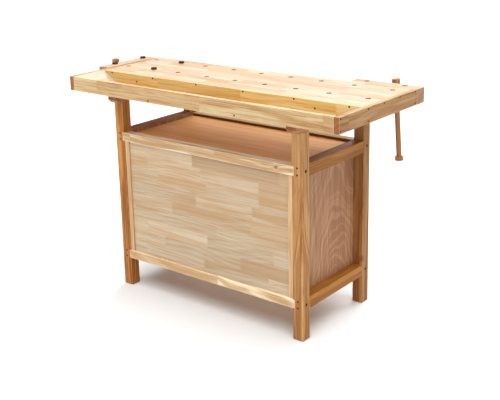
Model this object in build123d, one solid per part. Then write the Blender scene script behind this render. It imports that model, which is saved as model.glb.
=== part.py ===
from build123d import *
import math
import os

# A cabinetmaker's bench: a framed top with a tool tray, two wooden vises, four bench dogs, and a
# closed cabinet base with three drawers and a door. Millimetres, +Z up. The worker stands on the
# -Y side, the tool tray is on the +Y side, the front vise at the -X end, the tail vise at the +X end.

# ---- driving dimensions ----
top_length = 1270.0
top_depth = 508.0
bench_height = 860.0
edge_height = 57.0           # aprons, end caps and vise jaws share it
end_cap = 22.0
rear_apron = 16.0
front_apron = 23.0
slab = 20.0
tray_width = 150.0
tray_wall = 20.0
tray_board = 10.0
tray_floor_height = 45.0     # the tray's floor lies this far below the top
ramp_run = 70.0
ramp_board = 12.0            # measured upright

base_length = 900.0
base_front = -245.0
base_rear = 196.0
leg = 44.0
tenon = 20.0
bearer_bottom = 770.0
bearer_tail = 30.0           # how far the bearers stand out behind the legs
bearer_chamfer = 12.0

rail = 34.0                  # square rails along the bench
side_rail = 44.0
housing = 8.0                # the long rails are let into the legs by this much
top_joint_z = 631.0
bottom_joint_z = 137.0
screw_pair = 25.0

plywood = 6.0
shelf_board = 9.0
shelf_drop = 11.0            # from the top of the long rails down to the shelf
groove = 6.0
rear_board = 12.0
rear_recess = 10.0
batten = 20.0
batten_thick = 6.0
divider = 18.0

dog_radius = 9.5
dog_hole_radius = 10.0
dog_rows = (-199.0, -33.0)
dog_steps = (144.0, 132.0, 153.0, 141.0, 142.0, 142.0, 144.0, 160.0)   # from the tail end
first_dog_x = 591.0
dog_column = 1               # the column that holds the two dogs of the slab
dog_hole_depth = 64.0        # below the top, where a bearer lies under the slab

jaw_length = 283.0
jaw_thick = 57.0
jaw_dog_inset = 35.0         # from a jaw's inner face to its dog holes
vise_drop = 32.0             # from the top down to the screws
front_vise_x = -493.5
tail_vise_y = -101.0
tail_gap = 5.0               # the tail vise stands one turn open
front_rod_spacing = 210.0
tail_rod_spacing = 240.0
screw_radius = 8.0
screw_pitch = 5.0
screw_reach = 179.0          # behind the jaw's inner face
guide_radius = 7.0
hub_radius = 21.0
hub_length = 62.0
hub_to_handle = 46.0         # from the jaw's outer face
handle_radius = 10.0
handle_free = 281.0          # between the two knobs
knob_radius = 15.5
knob_length = 17.0
front_handle_tilt = 4.0
tail_handle_tilt = 0.0

front_board = 18.0
front_gap = 2.0
drawer_count = 3
drawer_side = 10.0
drawer_height = 118.0
drawer_depth = 375.0

clearance = 0.1
edge_chamfer = 0.7

# ---- places worked out from them ----
half_length = top_length / 2
half_depth = top_depth / 2
edge_bottom = bench_height - edge_height
slab_bottom = bench_height - slab
inner_x = half_length - end_cap
slab_front = front_apron - half_depth
tray_back = half_depth - rear_apron
tray_front = tray_back - tray_width
slab_back = tray_front - tray_wall
tray_floor = bench_height - tray_floor_height
tray_underside = tray_floor - tray_board
leg_out = base_length / 2
leg_in = leg_out - leg
leg_mid = leg_out - leg / 2
front_leg_y = base_front + leg / 2
rear_leg_y = base_rear - leg / 2
inner_front = base_front + rail
inner_rear = base_rear - rail
top_rail_z = (top_joint_z - rail / 2, top_joint_z + rail / 2)
bottom_rail_z = (bottom_joint_z - rail / 2, bottom_joint_z + rail / 2)
shelf_top = top_rail_z[1] - shelf_drop
floor_top = bottom_joint_z + shelf_board
side_inner_x = leg_in - plywood
vise_z = bench_height - vise_drop
dog_x = [first_dog_x - sum(dog_steps[:i]) for i in range(len(dog_steps) + 1)]

# The origin is the middle of the bench's footprint, hubs and jaws included, on the floor.
low_y = -half_depth - jaw_thick - hub_length
high_x = half_length + tail_gap + jaw_thick + hub_length
origin = Vector((high_x - half_length) / 2, (half_depth + low_y) / 2, 0)


def block(x, y, z):
    """A plain box between pairs of limits."""
    size = (x[1] - x[0], y[1] - y[0], z[1] - z[0])
    return Pos((x[0] + x[1]) / 2, (y[0] + y[1]) / 2, (z[0] + z[1]) / 2) * Box(*size)


def board(x, y, z, ease=edge_chamfer):
    """A planed board: a box whose arrises are just taken off."""
    plank = block(x, y, z)
    return chamfer(plank.edges(), ease)


def bar(start, direction, radius, length):
    """A round bar that starts at a point and runs along a direction."""
    place = Plane(origin=start, z_dir=direction)
    return place * Cylinder(radius, length, align=(Align.CENTER, Align.CENTER, Align.MIN))


def mirror_x(limits):
    return (-limits[1], -limits[0])


def group(shapes):
    """Separate solids kept together as one node."""
    return Compound(children=[solid for shape in shapes for solid in shape.solids()])


parts = {}


def put(node, shape):
    parts[node] = shape


def cut(tool, nodes):
    for node in nodes:
        parts[node] = parts[node] - tool


# ---- wood screws, bolts and their holes ----
head_radius = 3.6
head_depth = 3.0
head_sink = 0.8
shank_radius = 2.0


def wood_screw(start, direction, length):
    """A countersunk wood screw, its head just below the surface at start."""
    start = Vector(start)
    direction = Vector(direction).normalized()
    place = Plane(origin=start + direction * head_sink, z_dir=direction)
    head = Cone(head_radius, shank_radius, head_depth, align=(Align.CENTER, Align.CENTER, Align.MIN))
    shank = Cylinder(shank_radius, length, align=(Align.CENTER, Align.CENTER, Align.MIN))
    drive = Pos(0, 0, -0.1) * Box(1.4, 4.6, 2.2) + Pos(0, 0, -0.1) * Box(4.6, 1.4, 2.2)
    return place * (head + shank - drive)


def screw_hole(start, direction, length):
    """The sunk hole that a wood screw sits in, a little wider than the screw."""
    start = Vector(start)
    direction = Vector(direction).normalized()
    mouth = bar(start - direction, direction, head_radius + clearance, 1 + head_sink)
    place = Plane(origin=start + direction * head_sink, z_dir=direction)
    seat = place * Cone(head_radius + clearance, shank_radius + clearance, head_depth + clearance,
                        align=(Align.CENTER, Align.CENTER, Align.MIN))
    return mouth + seat + bar(start, direction, shank_radius + clearance, head_sink + length + 1)


def screws(places, length, nodes):
    """Drive a set of screws into some boards and return them as one group."""
    for start, direction in places:
        cut(screw_hole(start, direction, length), nodes)
    return [wood_screw(start, direction, length) for start, direction in places]


# ---- the top ----
put("top_slab", board((-inner_x, inner_x), (slab_front, slab_back), (slab_bottom, bench_height)))
put("front_apron", board((-inner_x, inner_x), (-half_depth, slab_front), (edge_bottom, bench_height)))
put("rear_apron", board((-inner_x, inner_x), (tray_back, half_depth), (edge_bottom, bench_height)))
put("tray_wall", board((-inner_x, inner_x), (slab_back, tray_front), (tray_underside, bench_height)))
put("tray_bottom", board((-inner_x, inner_x), (tray_front, tray_back), (tray_underside, tray_floor)))
cap_x = (inner_x, half_length)
cap_y = (-half_depth, half_depth)
put("right_end_cap", board(cap_x, cap_y, (edge_bottom, bench_height), 1.5))
put("left_end_cap", board(mirror_x(cap_x), cap_y, (edge_bottom, bench_height), 1.5))


def tray_ramp(side):
    """A sloped board that lets shavings be swept out of one end of the tray."""
    rise = tray_floor_height
    foot = ramp_run * (rise - ramp_board) / rise
    outline = [(0, 0), (-ramp_run, -rise), (-foot, -rise), (0, -ramp_board)]
    points = [(side * (inner_x + x), tray_back, bench_height + z) for x, z in outline]
    face = make_face(Polyline(*points, close=True))
    return extrude(face, tray_width, dir=(0, -1, 0))


put("tray_ramps", group([tray_ramp(-1), tray_ramp(1)]))

dog_holes = [bar((x, y, bench_height + 1), (0, 0, -1), dog_hole_radius, slab + 2)
             for x in dog_x for y in dog_rows]
for hole in dog_holes:
    cut(hole, ["top_slab"])

# ---- legs, bearers and rails ----
sides = {"left": -1, "right": 1}
leg_rows = {"front": front_leg_y, "rear": rear_leg_y}
for row, y in leg_rows.items():
    for hand, sign in sides.items():
        post = board((sign * leg_mid - leg / 2, sign * leg_mid + leg / 2),
                     (y - leg / 2, y + leg / 2), (0, bearer_bottom), 2.0)
        peg = Pos(sign * leg_mid, y, bearer_bottom) * Box(tenon, tenon, 2 * tenon)
        put(f"{row}_{hand}_leg", post + peg)

bearer_end = base_rear + bearer_tail
bearer_outline = [
    (base_front, bearer_bottom), (bearer_end - bearer_chamfer, bearer_bottom),
    (bearer_end, bearer_bottom + bearer_chamfer), (bearer_end, tray_underside),
    (slab_back, tray_underside), (slab_back, slab_bottom),
    (slab_front, slab_bottom), (slab_front, edge_bottom), (base_front, edge_bottom),
]
for hand, sign in sides.items():
    points = [(sign * leg_mid - leg / 2, y, z) for y, z in bearer_outline]
    beam = extrude(make_face(Polyline(*points, close=True)), leg, dir=(1, 0, 0))
    for y in leg_rows.values():
        hole = tenon + 2 * clearance
        beam -= Pos(sign * leg_mid, y, bearer_bottom) * Box(hole, hole, 2 * (tenon + clearance))
    for x in dog_x:
        for y in dog_rows:
            if abs(x - sign * leg_mid) < leg / 2 + dog_hole_radius:
                beam -= bar((x, y, bench_height), (0, 0, -1), dog_hole_radius, dog_hole_depth)
    put(f"{hand}_bearer", beam)

rail_x = (-leg_in - housing, leg_in + housing)
rail_rows = {"front": (base_front, inner_front), "rear": (inner_rear, base_rear)}
rail_levels = {"top": top_rail_z, "bottom": bottom_rail_z}
joint_levels = {"top": top_joint_z, "bottom": bottom_joint_z}
for row, y in rail_rows.items():
    for level, z in rail_levels.items():
        put(f"{row}_{level}_rail", board(rail_x, y, z))
        for hand, sign in sides.items():
            notch = sorted((sign * leg_in, sign * (leg_in + housing)))
            reach = (y[0] - 1, y[1]) if row == "front" else (y[0], y[1] + 1)
            cut(block(notch, reach, z), [f"{row}_{hand}_leg"])

side_y = (base_front + leg, base_rear - leg)
for hand, sign in sides.items():
    x = sorted((sign * leg_in, sign * leg_out))
    for level, z in joint_levels.items():
        put(f"{hand}_{level}_rail", board(x, side_y, (z - side_rail / 2, z + side_rail / 2), 1.2))

# ---- panels ----
panel_y = (base_rear - rear_recess - rear_board, base_rear - rear_recess)
panel_z = (bottom_rail_z[1] - groove, top_rail_z[0] + groove)
put("rear_panel", block((-leg_in, leg_in), panel_y, panel_z))
cut(parts["rear_panel"], ["rear_top_rail", "rear_bottom_rail"])

batten_x = (leg_in - batten, leg_in)
batten_y = (panel_y[1], panel_y[1] + batten_thick)
open_z = (bottom_rail_z[1], top_rail_z[0])
put("rear_battens", group([board(batten_x, batten_y, open_z), board(mirror_x(batten_x), batten_y, open_z)]))

side_panel_x = (side_inner_x, leg_in)
side_panel_z = (bottom_joint_z - side_rail / 2, top_joint_z + side_rail / 2 - 2)
put("right_side_panel", block(side_panel_x, (inner_front, inner_rear), side_panel_z))
put("left_side_panel", block(mirror_x(side_panel_x), (inner_front, inner_rear), side_panel_z))

inside_x = (-side_inner_x, side_inner_x)
board_y = (inner_front - groove, inner_rear + groove)
for node, top in {"cabinet_top": shelf_top, "cabinet_floor": floor_top}.items():
    put(node, block(inside_x, board_y, (top - shelf_board, top)))
cut(parts["cabinet_top"], ["front_top_rail", "rear_top_rail"])
cut(parts["cabinet_floor"], ["front_bottom_rail", "rear_bottom_rail"])

divider_x = (-divider / 2, divider / 2)
behind = block(divider_x, (inner_front, panel_y[0]), (floor_top, shelf_top - shelf_board))
post = block(divider_x, (base_front, inner_front), open_z)
divider_shape = behind + post
divider_shape -= block(divider_x, (inner_rear, panel_y[0] + 1), (0, open_z[0]))
divider_shape -= block(divider_x, (inner_rear, panel_y[0] + 1), (open_z[1], bench_height))
put("cabinet_divider", divider_shape)

# ---- drawers: three in the left bay ----
front_y = (base_front + front_gap, base_front + front_gap + front_board)
bay_x = (-leg_in + front_gap, -divider / 2 - front_gap)
box_x = (-side_inner_x + front_gap, -divider / 2 - front_gap)
row_pitch = (open_z[1] - open_z[0]) / drawer_count
runner_high = 12.0
runner_wide = 18.0
box_lift = 13.0              # from the bottom of a drawer front to its box
bottom_board = 5.0


def knob(x, z):
    """A turned wooden knob on the front at a place."""
    neck = Spline((8, 0), (7, 6), (13, 12), (15, 17), (13, 22), (7, 24.5))
    outline = neck + Line((7, 24.5), (0, 25)) + Line((0, 25), (0, 0)) + Line((0, 0), (8, 0))
    turned = revolve(make_face(outline), Axis.Y)
    return Pos(x, front_y[0], z) * Rot(180, 0, 0) * turned


def drawer_box(bottom):
    """A drawer's box: two sides, a back, an inner front and a bottom let into them."""
    y0 = front_y[1]
    y1 = y0 + drawer_depth
    z = (bottom, bottom + drawer_height)
    left = block((box_x[0], box_x[0] + drawer_side), (y0, y1), z)
    right = block((box_x[1] - drawer_side, box_x[1]), (y0, y1), z)
    across = (box_x[0] + drawer_side, box_x[1] - drawer_side)
    inner = block(across, (y0, y0 + drawer_side), z)
    back = block(across, (y1 - drawer_side, y1), z)
    sheet = block((box_x[0] + drawer_side / 2, box_x[1] - drawer_side / 2),
                  (y0 + drawer_side / 2, y1 - drawer_side / 2), (bottom + 8, bottom + 8 + bottom_board))
    walls = [wall - sheet for wall in (left, right, inner, back)]
    return group(walls + [sheet])


drawer_names = ["lower", "middle", "upper"]
runners = []
for i, name in enumerate(drawer_names):
    z0 = open_z[0] + i * row_pitch + front_gap / 2
    z1 = open_z[0] + (i + 1) * row_pitch - front_gap / 2
    face = board(bay_x, front_y, (z0, z1), 1.5)
    put(f"{name}_drawer_front", group([face, knob((bay_x[0] + bay_x[1]) / 2, (z0 + z1) / 2)]))
    box_bottom = z0 + box_lift
    put(f"{name}_drawer_box", drawer_box(box_bottom))
    runner_z = (box_bottom - 0.5 - runner_high, box_bottom - 0.5)
    runner_y = (inner_front, panel_y[0] - 12)
    for edge in (-side_inner_x, -divider / 2 - runner_wide):
        runners.append(block((edge, edge + runner_wide), runner_y, runner_z))
put("drawer_runners", group(runners))

# ---- door: right bay, hinged at the right leg ----
door_x = (divider / 2 + front_gap, leg_in - front_gap)
door_z = (open_z[0] + front_gap / 2, open_z[1] - front_gap / 2)
hinge_x = leg_in - front_gap / 2
hinge_y = base_front - 3.5
hinge_height = 50.0
hinge_levels = (door_z[0] + 70, door_z[1] - 70)
knuckle = 3.5
pin_radius = 1.5
leaf_y = (base_front + 0.5, base_front + 16)
door_knob = knob(door_x[0] + 32, (door_z[0] + door_z[1]) / 2)
put("cabinet_door", group([board(door_x, front_y, door_z, 1.5), door_knob]))


def hinge_piece(z, x, levels, bore):
    """One leaf of a butt hinge, with its knuckles at some of the hinge's levels."""
    leaf = block(x, leaf_y, (z - hinge_height / 2, z + hinge_height / 2))
    for low, high in levels:
        leaf += block(x, (hinge_y, leaf_y[1]), (z + low, z + high))
        leaf += bar((hinge_x, hinge_y, z + low), (0, 0, 1), knuckle, high - low)
    return leaf - bar((hinge_x, hinge_y, z - hinge_height), (0, 0, 1), bore, 2 * hinge_height)


outer_levels = [(-hinge_height / 2, -9), (9, hinge_height / 2)]
middle_level = [(-8.7, 8.7)]
frame_leaf_x = (hinge_x + 0.1, leg_in)
door_leaf_x = (door_x[1], hinge_x - 0.1)
frame_leaves = []
door_leaves = []
for z in hinge_levels:
    frame_leaves.append(hinge_piece(z, frame_leaf_x, outer_levels, pin_radius))
    frame_leaves.append(bar((hinge_x, hinge_y, z - hinge_height / 2), (0, 0, 1), pin_radius, hinge_height))
    door_leaves.append(hinge_piece(z, door_leaf_x, middle_level, pin_radius + clearance / 2))
put("frame_hinge_leaves", group(frame_leaves))
put("door_hinge_leaves", group(door_leaves))


# ---- vises: built at the middle of the jaw's inner face, opening towards -Y ----
def vise_parts(wall, gap, rod_spacing, jaw_dogs, tilt):
    """The pieces of one vise, and the holes it needs in the wall of the top behind its jaw."""
    made = {}
    below = vise_z - edge_bottom
    jaw = block((-jaw_length / 2, jaw_length / 2), (-jaw_thick, 0), (-below, vise_drop))
    jaw = chamfer(jaw.edges().group_by(Axis.Y)[0], 3.0)
    rods = []
    holes = []
    for x in (-rod_spacing / 2, rod_spacing / 2):
        jaw -= bar((x, -40 - clearance, 0), (0, 1, 0), guide_radius + clearance / 2, 60)
        rods.append(chamfer(bar((x, -40, 0), (0, 1, 0), guide_radius, 40 + screw_reach).edges(), 1.0))
        holes.append(bar((x, gap - 1, 0), (0, 1, 0), guide_radius + clearance, wall + 2))
    jaw -= bar((0, -jaw_thick - 1, 0), (0, 1, 0), screw_radius + 0.5, jaw_thick + 2)
    holes.append(bar((0, gap - 1, 0), (0, 1, 0), screw_radius + 1, wall + 2))
    for x in jaw_dogs:
        jaw -= bar((x, -jaw_dog_inset, vise_drop + 1), (0, 0, -1), dog_hole_radius, edge_height + 2)

    plate = block((-26, 26), (-jaw_thick - 4, -jaw_thick), (-22, 22))
    plate = chamfer(plate.edges().filter_by(Axis.Y), 6.0)
    plate -= bar((0, -jaw_thick - 5, 0), (0, 1, 0), screw_radius + 0.5, 6)
    fixings = []
    for x in (-20, 20):
        for z in (-16, 16):
            start = (x, -jaw_thick - 4, z)
            plate -= screw_hole(start, (0, 1, 0), 22)
            jaw -= screw_hole(start, (0, 1, 0), 22)
            fixings.append(wood_screw(start, (0, 1, 0), 22))
    made["jaw"] = jaw
    made["guide_rods"] = group(rods)
    made["collar"] = group([plate] + fixings)

    nut_y = gap + wall
    nut_plate = block((-30, 30), (nut_y, nut_y + 6), (-24, slab_bottom - vise_z - 0.5))
    nut = nut_plate + bar((0, nut_y + 6, 0), (0, 1, 0), 11.5, 22)
    nut -= bar((0, nut_y - 1, 0), (0, 1, 0), screw_radius + clearance, 40)
    nut_fixings = []
    for x in (-22, 22):
        for z in (-17, 5):
            start = (x, nut_y + 6, z)
            nut -= screw_hole(start, (0, -1, 0), 16)
            holes.append(screw_hole(start, (0, -1, 0), 16))
            nut_fixings.append(wood_screw(start, (0, -1, 0), 16))
    made["nut"] = group([nut] + nut_fixings)

    hub_start = -jaw_thick - hub_length
    thread_start = 14.0
    thread_root = screw_radius - 2.0
    turns = int((screw_reach - thread_start) / screw_pitch)
    profile = [(0, hub_start + 6), (screw_radius, hub_start + 6), (screw_radius, thread_start)]
    for i in range(turns):
        y = thread_start + i * screw_pitch
        profile += [(thread_root, y + 1), (thread_root, y + 2.5), (screw_radius, y + 3.5),
                    (screw_radius, y + screw_pitch)]
    profile += [(screw_radius - 1, screw_reach), (0, screw_reach)]
    spindle = revolve(make_face(Polyline(*profile, close=True)), Axis.Y)
    hub = bar((0, hub_start, 0), (0, 1, 0), hub_radius, hub_length - 4.3)
    hub = chamfer(hub.edges(), 2.0)
    hub += bar((0, -jaw_thick - 10, 0), (0, 1, 0), hub_radius + 3, 5.7)
    hub -= bar((0, hub_start + 5.9, 0), (0, 1, 0), screw_radius, hub_length)
    axis_dir = (math.sin(math.radians(tilt)), 0, math.cos(math.radians(tilt)))
    handle_y = -jaw_thick - hub_to_handle
    across = Plane(origin=(0, handle_y, 0), z_dir=axis_dir)
    cross_hole = across * Cylinder(handle_radius + clearance, 4 * hub_radius)
    pin_hole = bar((0, hub_start + 38, -hub_radius - 5), (0, 0, 1), 3.0, 2 * hub_radius + 10)
    pin = bar((0, hub_start + 38, 0.4 - hub_radius), (0, 0, 1), 3.0, 2 * hub_radius - 0.8)
    made["screw"] = group([spindle - cross_hole - pin_hole, hub - cross_hole - pin_hole, pin])

    knob_seat = hub_radius + 0.3
    tip = 10.0
    grip = Pos(0, 0, knob_seat - handle_free / 2) * Cylinder(handle_radius, handle_free)
    grip += Pos(0, 0, knob_seat) * Cylinder(6.5, 2 * tip)
    grip += Pos(0, 0, knob_seat - handle_free) * Cylinder(6.5, 2 * tip)
    ball = Pos(0, 0, knob_length / 2) * Cylinder(knob_radius, knob_length)
    ball = fillet(ball.edges(), 2.0) - Cylinder(6.5, 2 * (tip + clearance))
    top_knob = Pos(0, 0, knob_seat) * ball
    low_knob = Pos(0, 0, knob_seat - handle_free) * Rot(180, 0, 0) * ball
    made["handle"] = group([across * grip, across * top_knob, across * low_knob])
    return made, holes


front_place = Pos(front_vise_x, -half_depth, vise_z)
front_dogs = [x - front_vise_x for x in dog_x if abs(x - front_vise_x) < jaw_length / 2]
front_vise, front_holes = vise_parts(front_apron, 0.0, front_rod_spacing, front_dogs, front_handle_tilt)
for name, shape in front_vise.items():
    put(f"front_vise_{name}", front_place * shape)
for hole in front_holes:
    cut(front_place * hole, ["front_apron"])

tail_place = Pos(half_length + tail_gap, tail_vise_y, vise_z) * Rot(0, 0, 90)
tail_dogs = [y - tail_vise_y for y in dog_rows]
tail_vise, tail_holes = vise_parts(end_cap, tail_gap, tail_rod_spacing, tail_dogs, tail_handle_tilt)
for name, shape in tail_vise.items():
    put(f"tail_vise_{name}", tail_place * shape)
for hole in tail_holes:
    cut(tail_place * hole, ["right_end_cap"])

# ---- bench dogs ----
dog_head_radius = 12.0
dog_head = 8.0
dog_shank = 42.0
dog_flat = 9.5               # from the dog's axis to the flat that grips the work


def bench_dog(x, y, facing):
    """A round dog that stands in a hole, its flat turned along X."""
    head = Pos(0, 0, dog_head / 2) * Cylinder(dog_head_radius, dog_head)
    head = fillet(head.edges().group_by(Axis.Z)[-1], 1.5)
    head -= Pos(facing * (dog_flat + 5), 0, dog_head / 2 + 1) * Box(10, 40, dog_head)
    shank = chamfer(bar((0, 0, 0), (0, 0, -1), dog_radius, dog_shank).edges().group_by(Axis.Z)[0], 1.5)
    ring = bar((0, 0, -24), (0, 0, -1), dog_radius + 1, 4) - bar((0, 0, -23), (0, 0, -1), dog_radius - 1, 6)
    return Pos(x, y, bench_height) * (head + shank - ring)


jaw_dog_x = half_length + tail_gap + jaw_dog_inset
for name, y in zip(("front", "rear"), dog_rows):
    put(f"slab_dog_{name}", bench_dog(dog_x[dog_column], y, 1))
    put(f"jaw_dog_{name}", bench_dog(jaw_dog_x, y, -1))

# ---- fastenings ----
upper_z = bench_height - 6.5
lower_z = bench_height - 48.5
apron_mid_y = -half_depth + front_apron / 2
rear_apron_mid_y = half_depth - rear_apron / 2
tray_wall_mid_y = (slab_back + tray_front) / 2
cap_screws = []
for hand, sign in sides.items():
    out = sign * half_length
    long_ones = [((out, y, z), (-sign, 0, 0)) for y in (apron_mid_y, tray_wall_mid_y, rear_apron_mid_y)
                 for z in (upper_z, lower_z)]
    short_ones = [((out, y, upper_z), (-sign, 0, 0)) for y in (-132.0, -25.0)]
    cap_screws += screws(long_ones, 45, [f"{hand}_end_cap", "front_apron", "tray_wall", "rear_apron"])
    cap_screws += screws(short_ones, 30, [f"{hand}_end_cap", "top_slab"])
put("end_cap_screws", group(cap_screws))

wall_screw_step = 226.6
wall_places = [((wall_screw_step * (i - 2.5), tray_front, upper_z), (0, -1, 0)) for i in range(6)]
bearer_places = [((x, tray_front, bench_height - 29), (0, -1, 0)) for x in (-leg_mid, leg_mid)]
apron_places = [((x, half_depth, tray_floor - tray_board / 2), (0, -1, 0)) for x in (-206, 206)]
tray_screws = screws(wall_places, 45, ["tray_wall", "top_slab"])
tray_screws += screws(bearer_places, 45, ["tray_wall", "left_bearer", "right_bearer"])
tray_screws += screws(apron_places, 40, ["rear_apron", "tray_bottom"])
put("tray_screws", group(tray_screws))

rail_screws = []
for hand, sign in sides.items():
    for level, z in joint_levels.items():
        for row, (y, inward) in {"front": (base_front, 1), "rear": (base_rear, -1)}.items():
            places = [((sign * leg_mid, y, z + step), (0, inward, 0)) for step in (-screw_pair / 2, screw_pair / 2)]
            rail_screws += screws(places, 80, [f"{row}_{hand}_leg", f"{hand}_{level}_rail"])
front_rail_places = [((x, inner_front - 7, top_rail_z[1]), (0, 0, -1)) for x in (-359, 359)]
rail_screws += screws(front_rail_places, 28, ["front_top_rail", "cabinet_top"])
put("rail_screws", group(rail_screws))

bolt_head = 6.0
bolt_head_radius = 5.5
bolt_radius = 3.0
bolt_sink = 1.5
bolt_length = 80.0
nut_inset = 68.0             # from the leg's outer face to the barrel nut
nut_radius = 6.0
nut_length = 22.0
bolts = []
barrel_nuts = []
for hand, sign in sides.items():
    for row, y in leg_rows.items():
        for level, z in joint_levels.items():
            inward = (-sign, 0, 0)
            head_start = (sign * (leg_out - bolt_sink), y, z)
            head = bar(head_start, inward, bolt_head_radius, bolt_head)
            socket = Plane(origin=head_start, z_dir=inward) * extrude(RegularPolygon(3, 6), 4)
            bolts.append(head + bar(head_start, inward, bolt_radius, bolt_length) - socket)
            mouth = bar((sign * (leg_out + 1), y, z), inward, bolt_head_radius + 0.6, bolt_sink + bolt_head + 1)
            hole = mouth + bar(head_start, inward, bolt_radius + clearance, bolt_length + 2)
            open_end = -1 if level == "top" else 1
            nut_x = sign * (leg_out - nut_inset)
            pocket = bar((nut_x, y, z - open_end * (nut_length / 2 + clearance)), (0, 0, open_end),
                         nut_radius + clearance, rail)
            cut(hole, [f"{row}_{hand}_leg", f"{row}_{level}_rail"])
            cut(pocket, [f"{row}_{level}_rail"])
            nut = Pos(nut_x, y, z) * Cylinder(nut_radius, nut_length)
            barrel_nuts.append(nut - bar((nut_x - 10, y, z), (1, 0, 0), bolt_radius + clearance, 20))
put("frame_bolts", group(bolts))
put("barrel_nuts", group(barrel_nuts))

# ---- write the parts, with the origin at the middle of the footprint ----
os.makedirs("parts", exist_ok=True)
for node, shape in parts.items():
    export_step(shape.moved(Location(-origin)), f"parts/{node}.step")
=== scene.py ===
import bpy
import math
from mathutils import Matrix, Vector


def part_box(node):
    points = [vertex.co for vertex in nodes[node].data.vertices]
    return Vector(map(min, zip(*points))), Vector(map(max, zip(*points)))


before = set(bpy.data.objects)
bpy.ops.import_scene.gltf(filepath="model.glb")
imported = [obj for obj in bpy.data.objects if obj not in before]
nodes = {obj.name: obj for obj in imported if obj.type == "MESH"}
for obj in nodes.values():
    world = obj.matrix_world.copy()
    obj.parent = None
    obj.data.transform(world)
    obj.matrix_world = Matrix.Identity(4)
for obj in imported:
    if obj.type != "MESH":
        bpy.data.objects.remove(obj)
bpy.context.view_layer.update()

# A workbench of pale hardwood. Every board gets its own cut of wood: grain along its own length, its
# own tint, staves where it is glued up, and end grain where it is sawn across. Metres, +Z up.

X, Y, Z = 0, 1, 2


# ---- a small kit for node materials ----
class Paint:
    """One material. Its methods add nodes and hand back the socket that carries the result."""

    def __init__(self, name):
        self.material = bpy.data.materials.new(name)
        self.material.use_nodes = True
        self.tree = self.material.node_tree
        self.shader = self.tree.nodes["Principled BSDF"]
        self.coordinates = self.tree.nodes.new("ShaderNodeTexCoord")

    def feed(self, socket, value):
        if isinstance(value, bpy.types.NodeSocket):
            self.tree.links.new(value, socket)
        elif value is not None:
            socket.default_value = value

    def math(self, operation, a, b=None, c=None):
        node = self.tree.nodes.new("ShaderNodeMath")
        node.operation = operation
        for socket, value in zip(node.inputs, (a, b, c)):
            self.feed(socket, value)
        return node.outputs[0]

    def remap(self, value, low, high, to_low=0.0, to_high=1.0):
        node = self.tree.nodes.new("ShaderNodeMapRange")
        node.interpolation_type = "SMOOTHSTEP"
        for socket, number in zip(node.inputs, (value, low, high, to_low, to_high)):
            self.feed(socket, number)
        return node.outputs[0]

    def vector(self, x, y, z):
        node = self.tree.nodes.new("ShaderNodeCombineXYZ")
        for socket, value in zip(node.inputs, (x, y, z)):
            self.feed(socket, value)
        return node.outputs[0]

    def split(self, vector):
        node = self.tree.nodes.new("ShaderNodeSeparateXYZ")
        self.feed(node.inputs[0], vector)
        return node.outputs[:]

    def noise(self, vector, scale, detail=3.0, roughness=0.5):
        node = self.tree.nodes.new("ShaderNodeTexNoise")
        self.feed(node.inputs["Vector"], vector)
        node.inputs["Scale"].default_value = scale
        node.inputs["Detail"].default_value = detail
        node.inputs["Roughness"].default_value = roughness
        return node.outputs["Fac"]

    def cell_value(self, vector):
        node = self.tree.nodes.new("ShaderNodeTexWhiteNoise")
        node.noise_dimensions = "3D"
        self.feed(node.inputs["Vector"], vector)
        return node.outputs["Value"]

    def mix(self, factor, a, b):
        node = self.tree.nodes.new("ShaderNodeMix")
        node.data_type = "RGBA"
        self.feed(node.inputs["Factor"], factor)
        self.feed(node.inputs["A"], a if isinstance(a, bpy.types.NodeSocket) else (*a, 1.0))
        self.feed(node.inputs["B"], b if isinstance(b, bpy.types.NodeSocket) else (*b, 1.0))
        return node.outputs["Result"]

    def scale_color(self, color, factor):
        """A colour made lighter or darker by a factor that may vary over the surface."""
        node = self.tree.nodes.new("ShaderNodeVectorMath")
        node.operation = "SCALE"
        self.feed(node.inputs[0], color)
        self.feed(node.inputs["Scale"], factor)
        return node.outputs[0]

    def tinted(self, color, tint):
        """A colour seen through a tint: each channel is multiplied by its own share."""
        node = self.tree.nodes.new("ShaderNodeVectorMath")
        node.operation = "MULTIPLY"
        self.feed(node.inputs[0], color)
        node.inputs[1].default_value = tint
        return node.outputs[0]

    def bump(self, height, distance, strength=1.0):
        node = self.tree.nodes.new("ShaderNodeBump")
        node.inputs["Distance"].default_value = distance
        node.inputs["Strength"].default_value = strength
        self.feed(node.inputs["Height"], height)
        self.feed(self.shader.inputs["Normal"], node.outputs[0])


def linear(red, green, blue):
    """A colour given in display values from 0 to 255, as the shaders want it."""
    def one(value):
        share = value / 255.0
        return share / 12.92 if share <= 0.04045 else ((share + 0.055) / 1.055) ** 2.4
    return one(red), one(green), one(blue)


def scaled(color, factor):
    """A fixed colour made lighter or darker."""
    return tuple(factor * value for value in color)


# ---- wood ----
FINGER_STEP = 0.0022            # half the pitch of a finger joint's zigzag
FINGER_SLOPE = 3.2              # how far the fingers reach along a stave for each step across it
GLUE_LINE = (0.0002, 0.0007)    # a glue line is full this near to its middle, and gone at the second distance
SQUARE_ON = (0.72, 0.9)         # a face takes the look of its side between these shares of its normal
ROW_SALT, CELL_SALT = 3.7, 17.3     # keep the draws of the rows and of the staves apart
WEAR_AND_HIGHLIGHT_SCALE = 22.0               # how fast the rub and the painted highlight of the arrises change from place to place
WEAR_AND_HIGHLIGHT_REACH = 0.0045             # and how far in from the arris they can reach
RELIEF_DEPTH = 0.00035          # of the grain


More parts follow.
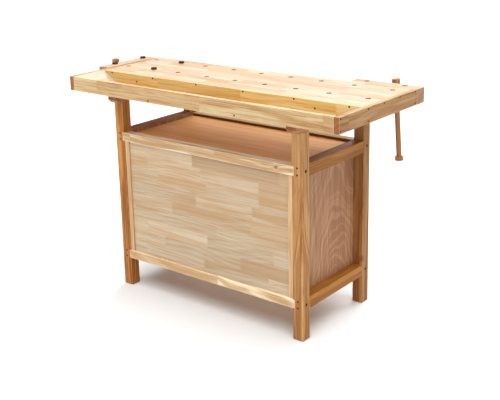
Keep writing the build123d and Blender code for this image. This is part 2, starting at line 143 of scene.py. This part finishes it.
class Timber:
    """How one kind of wood looks: its colours, its figure and its finish.

    stave is the width and length of the staves it is glued up from. cheek is the tint of the faces that
    look across it (both of them, or only the one on shaded_side), and crown that of the faces that look up.
    These tints stand in for light and shade that the lamps alone don't give. A boxed one is made up of
    boards that meet at the corners, so that no face shows end grain.
    """

    def __init__(self, pale, deep, end, stave=None, tint=0.16, ring=0.010, streak=0.6, fleck=0.35, arch=0.0,
                 side_shade_tint=None, shaded_side=0, top_shading_tint=None, boxed=False, shine=0.12, coat=0.0):
        self.pale = linear(*pale)
        self.deep = linear(*deep)
        self.end = linear(*end)
        self.stave = stave
        self.tint = tint
        self.ring = ring
        self.streak = streak
        self.fleck = fleck
        self.arch = arch
        self.side_shade_tint = side_shade_tint
        self.shaded_side = shaded_side
        self.top_shading_tint = top_shading_tint
        self.boxed = boxed
        self.shine = shine
        self.coat = coat


def staves(paint, along, across, timber, seed):
    """Two numbers for the stave that a point lies in, and how near the point is to a glue line."""
    width, length = timber.stave
    shortest, spread, shift = 0.65 * length, 0.7 * length, 9.0 * length
    rows = paint.math("DIVIDE", across, width)
    row = paint.math("FLOOR", rows)
    row_value = paint.cell_value(paint.vector(row, seed, ROW_SALT))
    row_length = paint.math("MULTIPLY_ADD", row_value, spread, shortest)
    zigzag = paint.math("PINGPONG", across, FINGER_STEP)
    fingers = paint.math("MULTIPLY_ADD", zigzag, FINGER_SLOPE, along)
    column = paint.math("DIVIDE", paint.math("MULTIPLY_ADD", row_value, shift, fingers), row_length)
    cell = paint.math("FLOOR", column)
    first = paint.cell_value(paint.vector(row, cell, seed))
    second = paint.cell_value(paint.vector(cell, row, seed + CELL_SALT))
    end_gap = paint.math("MULTIPLY", paint.math("PINGPONG", column, 0.5), row_length)
    side_gap = paint.math("MULTIPLY", paint.math("PINGPONG", rows, 0.5), width)
    line = paint.remap(paint.math("MINIMUM", end_gap, side_gap), *GLUE_LINE, to_low=1.0, to_high=0.0)
    return first, second, line


def knot_pull(paint, knots):
    """How strongly the knots of a board bend and darken the wood at a point, from 0 to 1."""
    pull = 0.0
    for spot, size in knots:
        gap = paint.tree.nodes.new("ShaderNodeVectorMath")
        gap.operation = "DISTANCE"
        paint.feed(gap.inputs[0], paint.coordinates.outputs["Object"])
        gap.inputs[1].default_value = spot
        near = paint.remap(gap.outputs["Value"], 0.0, size, 1.0, 0.0)
        pull = near if pull == 0.0 else paint.math("MAXIMUM", pull, near)
    return pull


def peeled_reach(paint, timber, own_u, across, wander):
    """Where a point lies among the arches of a peeled sheet. They bow away from one line along it."""
    offset = paint.math("SUBTRACT", across, timber.arch)
    bow = paint.math("MULTIPLY", paint.math("MULTIPLY", offset, offset), 9.0)
    return paint.math("MULTIPLY_ADD", wander, 0.34, paint.math("ADD", bow, own_u))


def sawn_reach(paint, timber, along, own_u, own_v, across, through, first, seed, wander):
    """How far a point is from the heart of the log, which lies outside the board and leans a little."""
    sway = paint.noise(paint.vector(paint.math("MULTIPLY", own_u, 1.6), own_v, seed), 1.0, 2.0)
    lean = paint.math("MULTIPLY_ADD", sway, 0.16, paint.math("MULTIPLY", along, 0.03))
    heart = 0.03 + 0.13 * ((seed * 0.37) % 1.0)
    if timber.stave:
        heart = paint.math("MULTIPLY_ADD", first, 0.16, heart)
    side = paint.math("SUBTRACT", paint.math("ADD", across, lean), heart)
    depth = paint.math("ADD", through, 0.035)
    square = paint.math("MULTIPLY_ADD", side, side, paint.math("MULTIPLY", depth, depth))
    return paint.math("MULTIPLY_ADD", wander, 0.012, paint.math("SQRT", square))


def growth_rings(paint, timber, along, own_u, own_v, across, through, first, seed, pull):
    """The figure of the log, 0 in pale wood and 1 in the dark lines."""
    fine, octaves = (7.0, 1.0) if timber.arch else (14.0, 3.0)
    wander = paint.noise(paint.vector(paint.math("MULTIPLY", own_u, 4.0),
                                      paint.math("MULTIPLY", own_v, fine),
                                      paint.math("MULTIPLY", through, fine)), 1.0, octaves)
    if timber.arch:
        reach = peeled_reach(paint, timber, own_u, across, wander)
    else:
        reach = sawn_reach(paint, timber, along, own_u, own_v, across, through, first, seed, wander)
    reach = paint.math("MULTIPLY_ADD", pull, 0.03, reach)
    rings = paint.noise(paint.vector(paint.math("DIVIDE", reach, timber.ring), seed, first), 1.0,
                        detail=1.0 if timber.arch else 4.0, roughness=0.62)
    if timber.arch:
        return paint.remap(paint.math("ABSOLUTE", paint.math("SUBTRACT", rings, 0.5)), 0.0, 0.10)
    return paint.remap(rings, 0.40, 0.60)


def arris_wear_and_highlight(paint, place, low, high):
    """1 on the arrises of a board, which are paler partly from rubbed wear and partly as a painted highlight,
    and 0 elsewhere. The band is wider in some places than in others.
    """
    gaps = []
    for value, start, end in zip(place, low, high):
        from_start = paint.math("SUBTRACT", value, start)
        gaps.append(paint.math("MINIMUM", from_start, paint.math("SUBTRACT", end, value)))
    smaller = paint.math("MINIMUM", gaps[X], gaps[Y])
    larger = paint.math("MAXIMUM", gaps[X], gaps[Y])
    second_smallest = paint.math("MAXIMUM", smaller, paint.math("MINIMUM", larger, gaps[Z]))
    rub_and_highlight_noise = paint.noise(paint.coordinates.outputs["Object"], WEAR_AND_HIGHLIGHT_SCALE, 4.0, 0.6)
    reach = paint.math("MULTIPLY_ADD", rub_and_highlight_noise, WEAR_AND_HIGHLIGHT_REACH, -0.0006)
    return paint.remap(paint.math("SUBTRACT", second_smallest, reach), -0.0008, 0.0008, 1.0, 0.0)


def facing_mask(paint, share):
    """1 on faces that look squarely along an axis, from the share of their normal that lies along it."""
    return paint.remap(share, *SQUARE_ON)


def painted_shade(paint, timber, color, facing, across_axis):
    """A colour with the painted shade of the faces that look across the board and the painted light and shade
    of those that look up.
    """
    if timber.side_shade_tint:
        look = facing[across_axis]
        side = paint.math("ABSOLUTE", look)
        if timber.shaded_side:
            side = paint.math("MULTIPLY", look, timber.shaded_side)
        color = paint.mix(facing_mask(paint, side), color, paint.tinted(color, timber.side_shade_tint))
    if timber.top_shading_tint:
        color = paint.mix(facing_mask(paint, facing[Z]), color, paint.tinted(color, timber.top_shading_tint))
    return color


def end_grain(paint, timber, own_v, through, rings, seed):
    """The colour of sawn ends. They show the rings as arcs and drink more finish, so they are darker."""
    speckle = paint.noise(paint.vector(own_v, through, seed), 900.0, 2.0, 0.7)
    arcs = paint.math("MULTIPLY", rings, 0.5)
    figure = paint.math("MULTIPLY_ADD", paint.remap(speckle, 0.35, 0.7), 0.35, arcs)
    return paint.mix(figure, timber.end, scaled(timber.end, 0.55))


def finish(paint, timber, clouds, fibres, pores, glue, end_mask, wear_and_highlight):
    """The sheen of the oiled surface and the fine relief of its grain."""
    dullness = paint.math("MULTIPLY_ADD", clouds, 0.16, 0.40)
    dullness = paint.math("MULTIPLY_ADD", end_mask, 0.2, dullness)
    dullness = paint.math("MULTIPLY_ADD", wear_and_highlight, 0.1, dullness)
    paint.feed(paint.shader.inputs["Roughness"], dullness)
    paint.shader.inputs["Specular IOR Level"].default_value = timber.shine
    paint.shader.inputs["Coat Weight"].default_value = timber.coat
    paint.shader.inputs["Coat Roughness"].default_value = 0.22
    relief = paint.math("MULTIPLY", fibres, 0.5)
    for layer, height in ((pores, -0.8), (glue, -0.8), (clouds, 1.2)):
        relief = paint.math("MULTIPLY_ADD", layer, height, relief)
    paint.bump(relief, RELIEF_DEPTH, 0.55)


def wood(name, timber, box, axes, seed, knots=()):
    """The material of one board, from a log of its own. The axes run along its grain, across and through."""
    paint = Paint(name)
    low, high = box
    place = paint.split(paint.coordinates.outputs["Object"])
    facing = paint.split(paint.coordinates.outputs["Normal"])
    end_mask = facing_mask(paint, paint.math("ABSOLUTE", facing[axes[0]]))
    along, across, through = (paint.math("SUBTRACT", place[axis], low[axis]) for axis in axes)
    if timber.boxed:
        along = paint.math("MULTIPLY_ADD", end_mask, paint.math("SUBTRACT", through, along), along)
    first, second, glue = staves(paint, along, across, timber, seed) if timber.stave else (0.5, 0.5, 0.0)
    own_u = paint.math("MULTIPLY_ADD", first, 7.0, along)
    own_v = paint.math("MULTIPLY_ADD", second, 3.0, across)
    pull = knot_pull(paint, knots)
    rings = growth_rings(paint, timber, along, own_u, own_v, across, through, first, seed, pull)

    # Fibres, pores and clouds run along the board and are fine across it.
    def stretched(fine_along, fine_across, detail, roughness=0.5):
        point = paint.vector(paint.math("MULTIPLY", own_u, fine_along),
                             paint.math("MULTIPLY", own_v, fine_across),
                             paint.math("MULTIPLY_ADD", through, fine_across, seed))
        return paint.noise(point, 1.0, detail, roughness)
    fibres = stretched(fine_along=3.0, fine_across=120.0, detail=4.0, roughness=0.7)
    flecks = paint.remap(stretched(fine_along=9.0, fine_across=260.0, detail=2.0, roughness=0.6), 0.56, 0.70)
    pores = paint.remap(stretched(fine_along=55.0, fine_across=900.0, detail=1.0), 0.66, 0.76)
    clouds = stretched(fine_along=2.5, fine_across=16.0, detail=3.0)

    figure = paint.math("MULTIPLY", rings, timber.streak)
    for layer, strength in ((paint.remap(fibres, 0.42, 0.62), 0.50), (paint.remap(clouds, 0.45, 0.68), 0.40),
                            (flecks, timber.fleck)):
        figure = paint.math("MULTIPLY_ADD", layer, strength, figure)
    color = paint.mix(paint.math("MINIMUM", figure, 1.6), timber.pale, timber.deep)
    if timber.stave:
        # Each stave is a little lighter or darker, and a few are much warmer.
        warm = paint.remap(second, 0.7, 0.85, 0.0, 3.5 * timber.tint)
        color = paint.mix(warm, color, timber.deep)
        stave_tint = paint.math("MULTIPLY_ADD", first, timber.tint, 1.0 - timber.tint / 2)
        color = paint.scale_color(color, stave_tint)
        color = paint.mix(paint.math("MULTIPLY", glue, 0.28), color, timber.end)
    color = paint.mix(paint.math("MULTIPLY", pores, 0.30), color, timber.end)
    if knots:
        color = paint.mix(paint.remap(pull, 0.35, 0.8, 0.0, 0.85), color, scaled(timber.end, 0.7))
    color = painted_shade(paint, timber, color, facing, axes[1])
    if not timber.boxed:
        color = paint.mix(end_mask, color, end_grain(paint, timber, own_v, through, rings, seed))

    # The arrises are paler: partly rubbed wear, partly a painted highlight.
    wear_and_highlight = arris_wear_and_highlight(paint, place, low, high)
    pale_edge = tuple(min(1.0, value) for value in scaled(timber.pale, 1.25))
    color = paint.mix(paint.math("MULTIPLY", wear_and_highlight, 0.45), color, pale_edge)
    paint.feed(paint.shader.inputs["Base Color"], color)
    finish(paint, timber, clouds, fibres, pores, glue, end_mask, wear_and_highlight)
    return paint


def dress(node, paint):
    """Give a CAD node its finished material."""
    target = nodes[node]
    target.data.materials.clear()
    target.data.materials.append(paint.material)


LONG = 0.2      # a stave wider than its board: the board is finger-jointed end to end only
# The side tints in this table are painted shade on the faces that look across a board, and the top tints are
# painted light and shade on the faces that look up.
timbers = {
    "top": Timber((184, 167, 146), (166, 127, 83), (130, 104, 80), (0.042, 0.30), streak=0.45, fleck=0.5,
                  side_shade_tint=(0.7, 0.7, 0.7), shine=0.3, coat=0.4),
    "edge": Timber((193, 170, 129), (157, 113, 67), (152, 98, 60), (LONG, 0.50), tint=0.07, streak=0.4,
                   fleck=0.6, top_shading_tint=(1.1, 1.2, 1.5)),
    "cap": Timber((156, 125, 83), (130, 83, 47), (150, 98, 60), (LONG, 0.42), tint=0.09, streak=0.5,
                  fleck=0.5, top_shading_tint=(1.3, 1.5, 1.9)),
    "jaw": Timber((178, 148, 116), (146, 112, 80), (162, 124, 94), streak=0.6, top_shading_tint=(1.1, 1.2, 1.4)),
    "tray_wall": Timber((221, 195, 138), (196, 154, 84), (150, 92, 50), (LONG, 0.45), tint=0.09, streak=0.5,
                        top_shading_tint=(0.70, 0.78, 1.2), coat=0.3),
    "ramp": Timber((180, 168, 148), (152, 132, 104), (170, 130, 90), streak=0.4, coat=0.3),
    "tray_ply": Timber((190, 160, 118), (168, 128, 84), (150, 104, 66), streak=0.4),
    "leg": Timber((184, 142, 92), (139, 90, 46), (140, 88, 52), streak=0.75),
    # A darker copy of the leg wood: painted shade for the front legs, which stand in the shade inside the
    # frame.
    "shaded_front_leg": Timber((164, 122, 75), (122, 74, 36), (130, 80, 46), streak=0.75),
    "dark_leg": Timber((187, 130, 68), (132, 78, 33), (118, 70, 40), streak=0.75),
    "bearer": Timber((176, 124, 80), (142, 90, 52), (146, 96, 62), streak=0.6),
    "rail": Timber((222, 204, 173), (175, 139, 98), (150, 100, 60), (LONG, 0.45), streak=0.7,
                   top_shading_tint=(1.1, 1.15, 1.3)),
    "side_rail": Timber((168, 115, 49), (131, 80, 29), (140, 88, 52), streak=0.7),
    "right_rail": Timber((176, 122, 62), (136, 84, 34), (140, 88, 52), streak=0.7, side_shade_tint=(0.42, 0.28, 0.18),
                         shaded_side=-1, shine=0.06),
    # A darker copy of the rail wood for the front top rail under the top, with painted shade on its rear
    # face.
    "shaded_front_rail": Timber((196, 168, 130), (164, 128, 88), (150, 100, 60), streak=0.7,
                         side_shade_tint=(0.36, 0.24, 0.13), shaded_side=1, shine=0.06),
    "panel": Timber((184, 169, 146), (170, 138, 103), (176, 136, 98), (0.052, 0.34), streak=0.45),
    "batten": Timber((201, 174, 133), (174, 139, 97), (160, 110, 66), streak=0.5),
    "side_ply": Timber((175, 135, 102), (143, 98, 70), (120, 76, 50), ring=0.045, streak=0.45,
                       fleck=0.15, arch=0.12),
    # Paler than the plywood itself: painted light for the light that falls onto the shelf through the gap
    # under the top.
    "shelf_ply": Timber((235, 179, 116), (213, 150, 89), (120, 76, 50), streak=0.35, fleck=0.15),
    "drawer": Timber((206, 178, 136), (184, 148, 102), (160, 114, 72), streak=0.4, boxed=True),
    "turned": Timber((168, 124, 82), (134, 88, 50), (166, 116, 78), streak=0.7),
}

ALONG_X, ALONG_X_UPRIGHT = (X, Y, Z), (X, Z, Y)
ALONG_Y, ALONG_Y_UPRIGHT = (Y, X, Z), (Y, Z, X)
ALONG_Z, ALONG_Z_SIDEWAYS = (Z, X, Y), (Z, Y, X)
boards = {
    "top_slab": ("top", ALONG_X), "tray_bottom": ("tray_ply", ALONG_X), "tray_ramps": ("ramp", ALONG_Y),
    "front_apron": ("edge", ALONG_X_UPRIGHT), "rear_apron": ("edge", ALONG_X_UPRIGHT),
    "left_end_cap": ("cap", ALONG_Y_UPRIGHT), "right_end_cap": ("cap", ALONG_Y_UPRIGHT),
    "tray_wall": ("tray_wall", ALONG_X_UPRIGHT),
    "left_bearer": ("bearer", ALONG_Y), "right_bearer": ("bearer", ALONG_Y),
    "front_left_leg": ("shaded_front_leg", ALONG_Z), "front_right_leg": ("shaded_front_leg", ALONG_Z),
    "rear_left_leg": ("leg", ALONG_Z), "rear_right_leg": ("dark_leg", ALONG_Z),
    "rear_top_rail": ("rail", ALONG_X), "rear_bottom_rail": ("rail", ALONG_X),
    "front_top_rail": ("shaded_front_rail", ALONG_X), "front_bottom_rail": ("rail", ALONG_X),
    "left_top_rail": ("side_rail", ALONG_Y), "left_bottom_rail": ("side_rail", ALONG_Y),
    "right_top_rail": ("right_rail", ALONG_Y), "right_bottom_rail": ("right_rail", ALONG_Y),
    "rear_panel": ("panel", ALONG_X_UPRIGHT), "rear_battens": ("batten", ALONG_Z),
    "left_side_panel": ("side_ply", ALONG_Z_SIDEWAYS), "right_side_panel": ("side_ply", ALONG_Z_SIDEWAYS),
    "cabinet_top": ("shelf_ply", ALONG_X), "cabinet_floor": ("shelf_ply", ALONG_X),
    "cabinet_divider": ("batten", ALONG_Z), "drawer_runners": ("batten", ALONG_Y),
    "front_vise_jaw": ("jaw", ALONG_X), "tail_vise_jaw": ("jaw", ALONG_Y),
    "front_vise_handle": ("turned", ALONG_Z), "tail_vise_handle": ("turned", ALONG_Z),
    "cabinet_door": ("panel", ALONG_Z),
}
for drawer in ("lower", "middle", "upper"):
    boards[f"{drawer}_drawer_front"] = ("panel", ALONG_X_UPRIGHT)
    boards[f"{drawer}_drawer_box"] = ("drawer", ALONG_X_UPRIGHT)


def knots_of(node):
    """The knots of a board: where the heart of each lies, and how far it bends the grain."""
    low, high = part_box(node)
    if node == "rear_top_rail":
        return [(Vector((low.x + 0.075, high.y, low.z + 0.020)), 0.016)]
    if node == "front_left_leg":
        return [(Vector((low.x, high.y, low.z + 0.185)), 0.020)]
    if node == "top_slab":
        return [(Vector((low.x + 0.36, low.y + 0.255, high.z)), 0.012)]
    return []


for count, (node, (timber, axes)) in enumerate(boards.items()):
    dress(node, wood(node, timbers[timber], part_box(node), axes, 1.0 + 5.31 * count, knots_of(node)))


# ---- metal and dogs ----
def metal(name, color, roughness, scale):
    """Steel or iron with a fine uneven sheen and a few dull spots."""
    paint = Paint(name)
    place = paint.coordinates.outputs["Object"]
    spots = paint.noise(place, scale, 4.0, 0.65)
    dull = paint.remap(spots, 0.5, 0.72)
    paint.feed(paint.shader.inputs["Base Color"], paint.mix(dull, color, scaled(color, 0.45)))
    paint.shader.inputs["Metallic"].default_value = 1.0
    paint.feed(paint.shader.inputs["Roughness"], paint.math("MULTIPLY_ADD", spots, 0.3, roughness))
    paint.bump(paint.noise(place, 6 * scale, 3.0), 0.0001, 0.4)
    return paint


dark_screw = metal("black_oxide_screw", linear(40, 34, 30), 0.45, 700.0)
dark_bolt = metal("dark_bolt", linear(58, 54, 52), 0.32, 500.0)
cast_iron = metal("cast_iron", linear(68, 67, 68), 0.5, 220.0)
bright_rod = metal("bright_rod", linear(150, 150, 152), 0.28, 300.0)
hinge_steel = metal("hinge_steel", linear(176, 168, 150), 0.3, 400.0)
for node in ("end_cap_screws", "tray_screws", "rail_screws"):
    dress(node, dark_screw)
for node in ("frame_bolts", "barrel_nuts"):
    dress(node, dark_bolt)
for vise in ("front", "tail"):
    dress(f"{vise}_vise_guide_rods", bright_rod)
    for piece in ("screw", "nut", "collar"):
        dress(f"{vise}_vise_{piece}", cast_iron)
for node in ("door_hinge_leaves", "frame_hinge_leaves"):
    dress(node, hinge_steel)


def black_plastic():
    """Moulded black plastic with a fine grain."""
    paint = Paint("dog_plastic")
    place = paint.coordinates.outputs["Object"]
    cloud = paint.noise(place, 60.0, 3.0)
    paint.feed(paint.shader.inputs["Base Color"], paint.mix(cloud, linear(34, 30, 28), linear(62, 54, 48)))
    paint.feed(paint.shader.inputs["Roughness"], paint.math("MULTIPLY_ADD", cloud, 0.25, 0.4))
    paint.shader.inputs["Specular IOR Level"].default_value = 0.2
    paint.bump(paint.noise(place, 1400.0, 2.0), 0.00008, 0.5)
    return paint


plastic = black_plastic()
for node in ("slab_dog_front", "slab_dog_rear", "jaw_dog_front", "jaw_dog_rear"):
    dress(node, plastic)


# ---- floor, light and camera ----
def floor():
    bpy.ops.mesh.primitive_plane_add(size=40.0, location=(0, 0, 0))
    plane = bpy.context.object
    plane.name = "floor"
    paint = Paint("floor_paper")
    paper = paint.noise(paint.coordinates.outputs["Object"], 40.0, 3.0)
    paint.feed(paint.shader.inputs["Base Color"], paint.mix(paper, (0.60, 0.60, 0.60), (0.62, 0.62, 0.62)))
    paint.shader.inputs["Roughness"].default_value = 0.9
    plane.data.materials.append(paint.material)


LAMPS = (       # name, the way it shines, its strength, and how many degrees of the sky it fills
    ("overhead", (0.16, -0.20, -1.0), 5.2, 70.0),
    ("tray_side", (0.35, -1.0, -0.30), 0.6, 40.0),
    ("worker_side", (-0.10, 1.0, -0.80), 3.4, 50.0),
)
ROOM_HEIGHTS = (0.18, 0.42)     # sines of the angles above the horizon where the room starts and ends to dim
ROOM_LIGHT = (1.0, 0.12)        # its light below the first and above the second


def studio():
    """Three wide soft lamps, and a pale room that is white around the horizon and dim overhead."""
    for name, direction, strength, spread in LAMPS:
        data = bpy.data.lights.new(name, "SUN")
        data.energy = strength
        data.angle = math.radians(spread)
        light = bpy.data.objects.new(name, data)
        light.rotation_euler = Vector(direction).to_track_quat("-Z", "Y").to_euler()
        bpy.context.scene.collection.objects.link(light)
    world = bpy.data.worlds.new("studio")
    world.use_nodes = True
    tree = world.node_tree
    place = tree.nodes.new("ShaderNodeTexCoord")
    split = tree.nodes.new("ShaderNodeSeparateXYZ")
    fade = tree.nodes.new("ShaderNodeMapRange")
    tree.links.new(place.outputs["Generated"], split.inputs[0])
    tree.links.new(split.outputs["Z"], fade.inputs["Value"])
    for socket, number in zip(fade.inputs[1:5], (*ROOM_HEIGHTS, *ROOM_LIGHT)):
        socket.default_value = number
    tree.links.new(fade.outputs[0], tree.nodes["Background"].inputs["Strength"])
    tree.nodes["Background"].inputs["Color"].default_value = (1.0, 1.0, 1.0, 1.0)
    bpy.context.scene.world = world


def photographer():
    """The camera. It looks down at the tray side from beyond the left end, and leans a little."""
    place = Vector((-2.2226, 2.6847, 1.5465))
    azimuth, pitch, roll = math.radians(38.52), math.radians(15.65), math.radians(-1.23)
    focal_share = 1.8368        # focal length over the sensor's width
    forward = Vector((math.sin(azimuth) * math.cos(pitch), -math.cos(azimuth) * math.cos(pitch),
                      -math.sin(pitch)))
    data = bpy.data.cameras.new("camera")
    data.sensor_width = 36.0
    data.lens = data.sensor_width * focal_share
    data.shift_y = -0.1
    camera = bpy.data.objects.new("camera", data)
    level = forward.to_track_quat("-Z", "Y").to_matrix()
    turned = level @ Matrix.Rotation(roll, 3, "Z")
    camera.matrix_world = Matrix.Translation(place) @ turned.to_4x4()
    bpy.context.scene.collection.objects.link(camera)
    bpy.context.scene.camera = camera


floor()
studio()
photographer()
bpy.context.scene.view_settings.view_transform = "Standard"
